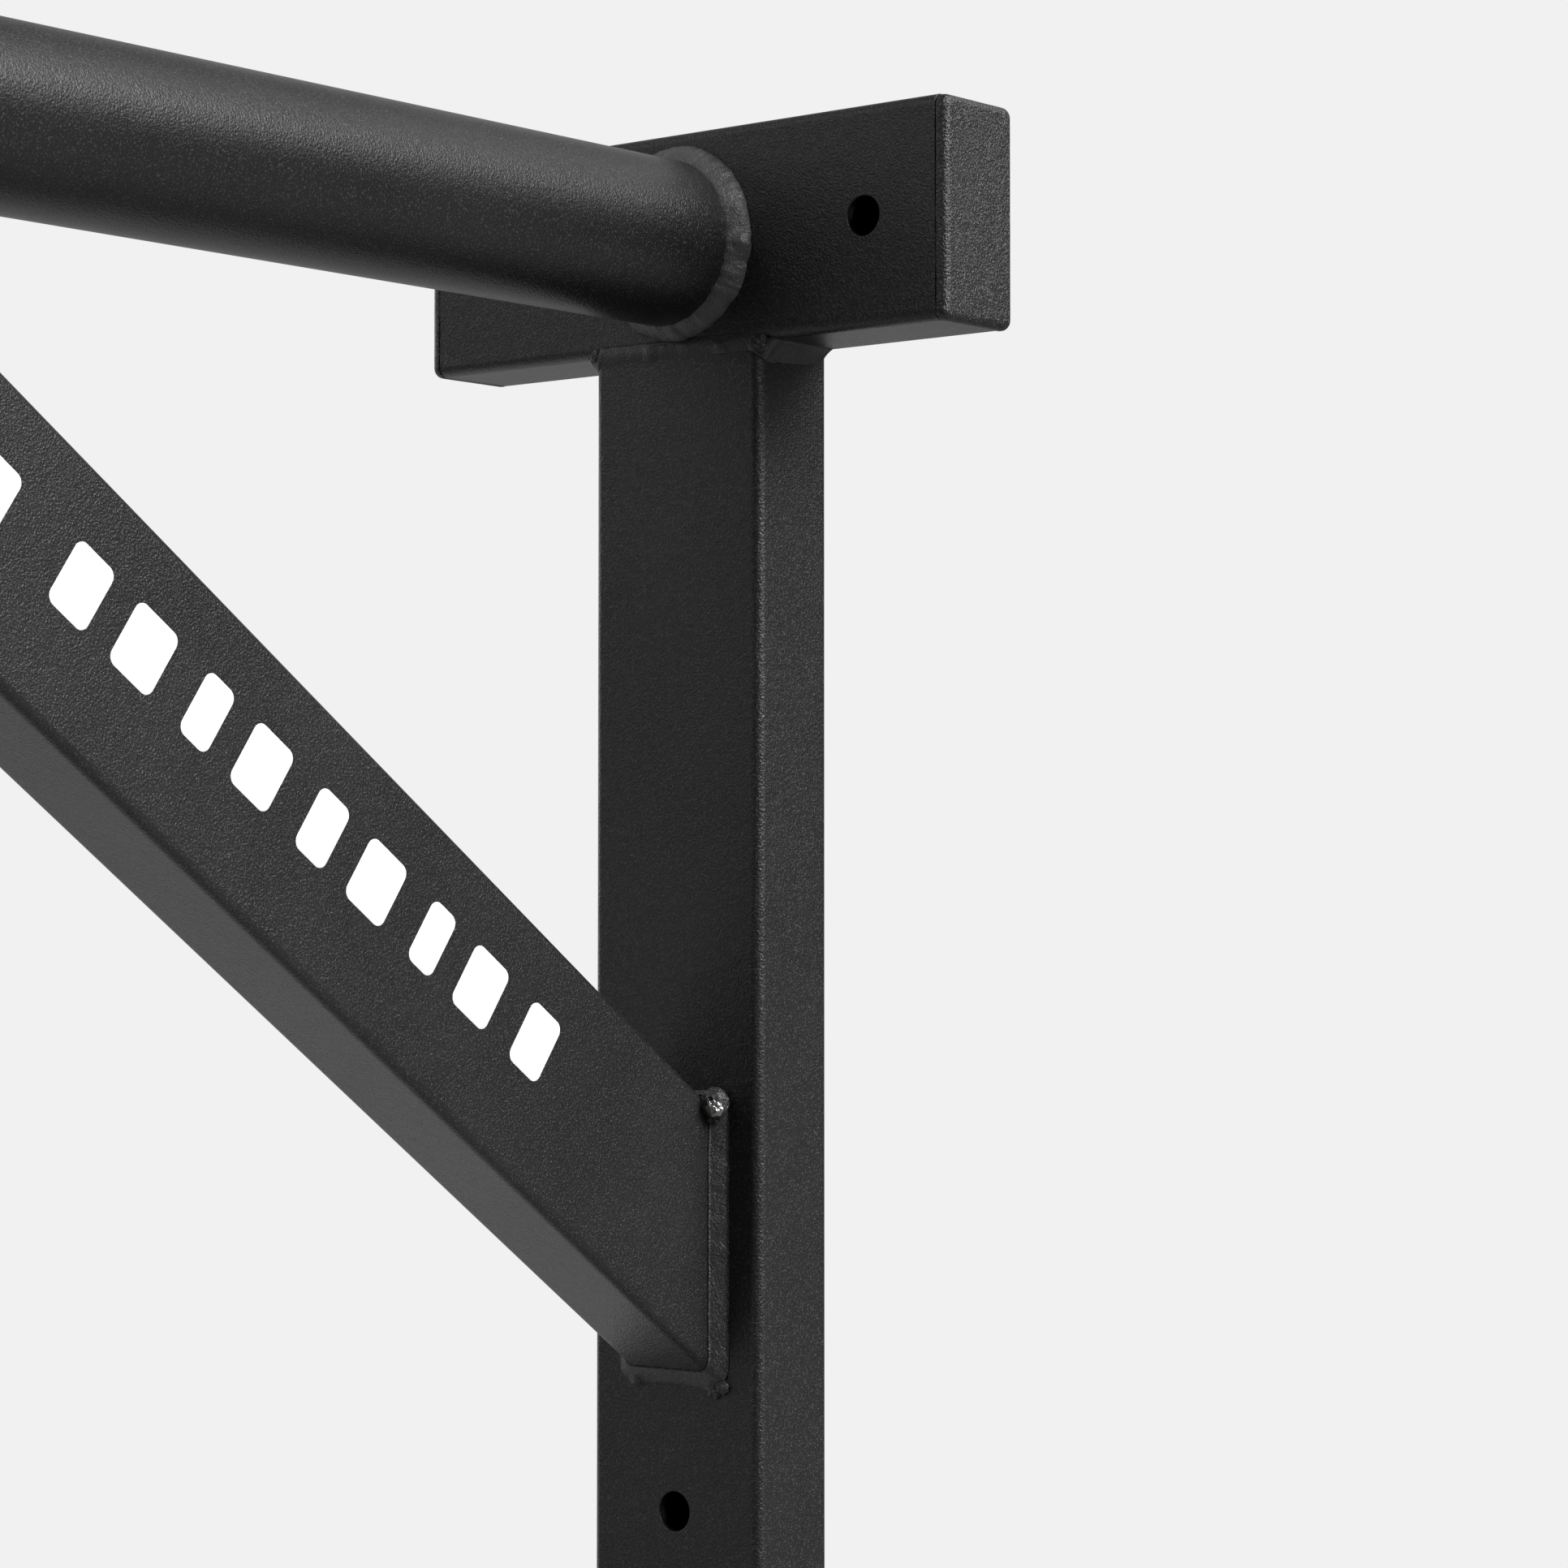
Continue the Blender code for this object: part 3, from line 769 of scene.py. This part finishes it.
def build_upright_weld(side, x, material):
    """Under the crosspiece: along one side of the upright, across its front and back along the other."""
    half = SECTION_LONG / 2
    radius = SECTION_RADIUS
    seed = 23.0 + x
    lumps = []
    for share, behind, down, size, height in SEAM_LUMPS:
        spot = Vector((x + share * half, FRONT + behind, CROSS_BOTTOM - down))
        lumps.append((spot, size, height))
    stops = seam_stops()
    for place, normal, out, down, front in stops[-2::-1]:
        mirrored = Vector((-place.x, place.y, 0.0))
        stops.append((mirrored, Vector((-normal.x, normal.y, 0.0)), out, down, front))
    rings = []
    for place, normal, out, down, front in stops:
        base = Vector((x, 0.0, CROSS_BOTTOM)) + place
        drop = down * (1 + 0.07 * wander(base, 420, (seed, 0, 0)))
        reach = out * (1 + 0.07 * wander(base, 420, (0, seed, 0)))
        # The top toe lies under the crosspiece at the sides, and up on its rounded edge at the front.
        turn = math.radians(86.0) * front
        rim = base - normal * radius * front + normal * reach * (1 - front)
        top = rim + normal * radius * math.sin(turn) * front + Z * radius * (1 - math.cos(turn))
        low = base - Z * drop
        inside = base - EMBED * normal - 0.0016 * normal * front + 0.0002 * Z
        ring = [inside, top - 0.0004 * normal * front + EMBED * Z * (1 - front) + 0.0001 * Z]
        outward = (normal - Z * 0.75 * (1 - front)).normalized()
        proud = 0.00040 * front - 0.00050 * (1 - front)
        for step in range(SEAM_ACROSS_STEPS + 1):
            t = step / SEAM_ACROSS_STEPS
            point = top.lerp(low, t)
            swell = 0.00012 * wander(point, 300, (seed, seed, 0)) + 0.00004 * wander(point, 1100)
            point = point + outward * math.sin(math.pi * t) * (proud + swell)
            ring.append(raise_lumps(point, outward, lumps))
        ring.append(low - EMBED * normal + 0.0001 * Z)
        rings.append(ring)
    bm = skin(rings, closed=False)
    for across, up, size, salt in ((1, -0.0004, 0.0024, 3.0), (-1, 0.0006, 0.0021, 8.0)):
        centre = Vector((x + across * (half - 0.0003), FRONT + 0.0009, CROSS_BOTTOM + up))
        nodule(bm, centre, size, (1.0, 0.62, 1.0), salt + x)
    weld_piece(side + "_upright_bead", bm, material, side + "_upright_weld")


# ---------------------------------------------------------------- print on the braces
# Where each block starts along the brace, from its foot, and its length
PRINT_BLOCKS = (
    (0.0705, 0.0110),
    (0.0905, 0.0125),
    (0.1105, 0.0085),
    (0.1285, 0.0130),
    (0.1490, 0.0100),
    (0.1685, 0.0125),
    (0.1885, 0.0090),
    (0.2070, 0.0130),
    (0.2275, 0.0115),
    (0.2560, 0.0220),
)
PRINT_HEIGHT = 0.0150
PRINT_MIDDLE = 0.0035  # how far the row lies above the brace's axis
PRINT_CORNER = 0.0022
PRINT_THICKNESS = 0.00006
PRINT_SUNK = 0.00004  # how deep a block reaches into the brace
PRINT_EASE = 0.00008  # bevel round a block's face


def build_print(side, x, material):
    """A row of plain rounded blocks on the outer face of the brace."""
    outer = 1 if x > 0 else -1
    foot = Vector((x + outer * SECTION_SHORT / 2, FRONT, FOOT_MIDDLE))
    bm = bmesh.new()
    for start, length in PRINT_BLOCKS:
        outline = rounded_rectangle(length, PRINT_HEIGHT, PRINT_CORNER, 8)
        middle = foot + (start + length / 2) * BRACE_ALONG + PRINT_MIDDLE * BRACE_UP
        loops = []
        for inset, level in ((0.0, -PRINT_SUNK), (0.0, PRINT_THICKNESS / 2), (PRINT_EASE, PRINT_THICKNESS)):
            loop = []
            for point, normal in outline:
                flat = point - inset * normal
                place = middle + flat.x * BRACE_ALONG + flat.y * BRACE_UP + outer * level * X
                loop.append(bm.verts.new(place))
            loops.append(loop)
        for before, after in zip(loops, loops[1:]):
            for index in range(len(after)):
                bm.faces.new((before[index - 1], before[index], after[index], after[index - 1]))
        bm.faces.new(loops[0])
        bm.faces.new(loops[-1])
    bmesh.ops.recalc_face_normals(bm, faces=bm.faces[:])
    settle(mesh_object(side + "_brace_print", bm, material), "white_print")


# ---------------------------------------------------------------- the object
# The bare metal on the right foot's nodule: its place, radius and soft edge
BARE_SPOT = (
    BRACKET_X + SECTION_SHORT / 2 + NODULE_OUT + 0.0018,
    FRONT - NODULE_FORWARD - 0.0024,
    FOOT_TOP + NODULE_UP - 0.0013,
)
CHIP = (BARE_SPOT, 0.0013, 0.0016)

TUBE_COAT = powder_coat("bracket_powder_coat")
BAR_COAT = powder_coat("bar_powder_coat", base=0.011, grain=0.00011, lumps=0.00004)
PLATE_COAT = powder_coat("end_plate_powder_coat", base=0.016, grain=0.00022, lumps=0.00014, glint_specks=1.0)
# The same coat with a lighter base colour: painted highlight on the welds at both ends of the brace
LIGHTENED_WELD_COAT = powder_coat(
    "weld_powder_coat_painted_highlight", base=0.036, roughness=0.25, grain=0.00020, lumps=0.00010, glint_specks=1.0, chips=(CHIP,)
)
# The same coat with a much lighter base colour: painted highlight on the weld round the bar
LIGHTENED_RING_COAT = powder_coat(
    "ring_powder_coat_painted_highlight", base=0.080, roughness=0.25, grain=0.00020, lumps=0.00010, glint_specks=1.0
)
# The same coat with a lighter base colour: painted light on the weld under the crosspiece
LIGHTENED_SEAM_COAT = powder_coat("seam_powder_coat_painted_light", base=0.026, lumps=0.00010)
PRINT_PAINT = print_paint()

build_bar(BAR_COAT)
for side, x in SIDES:
    build_crosspiece(side, x, TUBE_COAT)
    build_upright(side, x, TUBE_COAT)
    build_brace(side, x, TUBE_COAT)
    build_end_plates(side, x, PLATE_COAT)
    build_bar_weld(side, x, LIGHTENED_RING_COAT)
    build_upright_weld(side, x, LIGHTENED_SEAM_COAT)
    build_brace_foot_weld(side, x, LIGHTENED_WELD_COAT)
    build_brace_top_weld(side, x, LIGHTENED_WELD_COAT)
    build_print(side, x, PRINT_PAINT)

# ---------------------------------------------------------------- studio
BACKGROUND = (0.879, 0.879, 0.879, 1.0)
FLOOR_COLOUR = (0.80, 0.80, 0.80, 1.0)
FLOOR_DROP = 2.2  # how far the floor lies below the bar
FLOOR_RADIUS = 7.0
FLOOR_GLOW = (0.3, 1.0)  # share of glow within a metre of the middle, and near the rim

# The light is a set of soft lobes round the object: direction towards the light, sharpness, strength
LOBES = (
    ((0.82, 0.07, 0.57), 50.0, 28.0),  # key, high on the right: the line along the bar
    ((0.71, 0.41, 0.57), 50.0, 8.7),  # widens the key towards the wall
    ((-0.28, -0.77, 0.57), 50.0, 3.0),  # high in front
    ((0.33, 0.33, 0.88), 50.0, 4.4),  # overhead
    ((-0.34, -0.93, 0.14), 50.0, 1.4),  # low in front
    ((0.0, 0.82, 0.57), 50.0, 1.05),  # high behind
    ((0.86, 0.50, 0.14), 50.0, 0.30),  # right, behind
    ((0.75, -0.63, 0.18), 50.0, 1.10),  # right, in front
    ((0.78, 0.41, -0.48), 8.0, 0.34),  # fills from below, all round
    ((-0.82, 0.22, -0.52), 8.0, 0.43),
    ((-0.38, -0.04, -0.92), 8.0, 0.41),
    ((-0.43, 0.46, -0.77), 8.0, 0.26),
    ((0.33, 0.36, -0.88), 8.0, 0.15),
    ((-0.58, -0.45, -0.68), 8.0, 0.13),
    ((0.58, 0.06, -0.81), 8.0, 0.26),
    ((-0.64, -0.77, -0.02), 8.0, 0.16),  # fills at the object's own height
    ((0.48, 0.85, -0.23), 8.0, 0.05),
    ((-0.60, 0.75, 0.30), 8.0, 0.50),  # left, behind: for the views from the back
    ((-0.97, 0.05, 0.25), 20.0, 2.5),  # left: the far bracket's outer side
)
AMBIENT = 0.008

CAMERA_LENS = 98.67
CAMERA_WIDTH = 36.0
CAMERA_PLACE = (0.6438, -0.76624, -0.18605)  # from the right crosspiece: its middle, back and top
CAMERA_TILT = math.radians(2.12)  # upwards
CAMERA_TURN = math.radians(39.52)  # to the left


def build_floor():
    """A pale disc. It glows more towards its rim, so that it runs into the background."""
    bm = bmesh.new()
    bmesh.ops.create_circle(bm, cap_ends=True, segments=96, radius=FLOOR_RADIUS)
    n = Nodes("studio_floor")
    n.link(FLOOR_COLOUR, n.shader.inputs["Base Color"])
    n.link(n.remap(n.noise(3.0), 0.3, 0.7, 0.80, 0.90), n.shader.inputs["Roughness"])
    n.shader.inputs["Specular IOR Level"].default_value = 0.1
    glow = n.tree.nodes.new("ShaderNodeEmission")
    glow.inputs["Color"].default_value = BACKGROUND
    length = n.tree.nodes.new("ShaderNodeVectorMath")
    length.operation = "LENGTH"
    n.link(n.place, length.inputs[0])
    shade = n.tree.nodes.new("ShaderNodeMixShader")
    n.link(n.remap(length.outputs["Value"], 1.0, FLOOR_RADIUS * 0.8, *FLOOR_GLOW), shade.inputs[0])
    n.link(n.shader.outputs[0], shade.inputs[1])
    n.link(glow.outputs[0], shade.inputs[2])
    n.link(shade.outputs[0], n.tree.nodes["Material Output"].inputs["Surface"])
    floor = mesh_object("studio_floor", bm, n.material)
    floor.location = (0.0, -BAR_REACH / 2, BAR_Z - FLOOR_DROP)
    floor.visible_diffuse = False
    floor.visible_glossy = False


def build_world():
    """Light from the lobes. A lobe's light is strength * exp(sharpness * (cosine - 1)), with the cosine
    of the angle from its middle. The camera itself sees an even background."""
    world = bpy.data.worlds.new("studio")
    world.use_nodes = True
    bpy.context.scene.world = world
    tree = world.node_tree
    tree.nodes.clear()
    place = tree.nodes.new("ShaderNodeTexCoord").outputs["Generated"]
    total = None
    for direction, sharpness, strength in LOBES:
        cosine = tree.nodes.new("ShaderNodeVectorMath")
        cosine.operation = "DOT_PRODUCT"
        tree.links.new(place, cosine.inputs[0])
        cosine.inputs[1].default_value = Vector(direction).normalized()
        fall = tree.nodes.new("ShaderNodeMath")
        fall.operation = "MULTIPLY_ADD"
        tree.links.new(cosine.outputs["Value"], fall.inputs[0])
        fall.inputs[1].default_value = sharpness
        fall.inputs[2].default_value = -sharpness
        lobe = tree.nodes.new("ShaderNodeMath")
        lobe.operation = "EXPONENT"
        tree.links.new(fall.outputs[0], lobe.inputs[0])
        scale = tree.nodes.new("ShaderNodeMath")
        scale.operation = "MULTIPLY_ADD"
        tree.links.new(lobe.outputs[0], scale.inputs[0])
        scale.inputs[1].default_value = strength
        if total is None:
            scale.inputs[2].default_value = AMBIENT
        else:
            tree.links.new(total, scale.inputs[2])
        total = scale.outputs[0]
    light = tree.nodes.new("ShaderNodeBackground")
    tree.links.new(total, light.inputs["Color"])
    seen = tree.nodes.new("ShaderNodeBackground")
    seen.inputs["Color"].default_value = BACKGROUND
    path = tree.nodes.new("ShaderNodeLightPath")
    shade = tree.nodes.new("ShaderNodeMixShader")
    tree.links.new(path.outputs["Is Camera Ray"], shade.inputs[0])
    tree.links.new(light.outputs[0], shade.inputs[1])
    tree.links.new(seen.outputs[0], shade.inputs[2])
    output = tree.nodes.new("ShaderNodeOutputWorld")
    tree.links.new(shade.outputs[0], output.inputs["Surface"])


def build_camera():
    data = bpy.data.cameras.new("camera")
    data.sensor_fit = "HORIZONTAL"
    data.sensor_width = CAMERA_WIDTH
    data.lens = CAMERA_LENS
    data.clip_start = 0.01
    data.clip_end = 100.0
    camera = bpy.data.objects.new("camera", data)
    bpy.context.scene.collection.objects.link(camera)
    camera.location = Vector((BRACKET_X, CROSS_HIGH.y, CROSS_HIGH.z)) + Vector(CAMERA_PLACE)
    camera.rotation_euler = (math.radians(90.0) + CAMERA_TILT, 0.0, CAMERA_TURN)
    bpy.context.scene.camera = camera


build_floor()
build_world()
build_camera()
bpy.context.scene.view_settings.view_transform = "Standard"

bpy.context.view_layer.update()
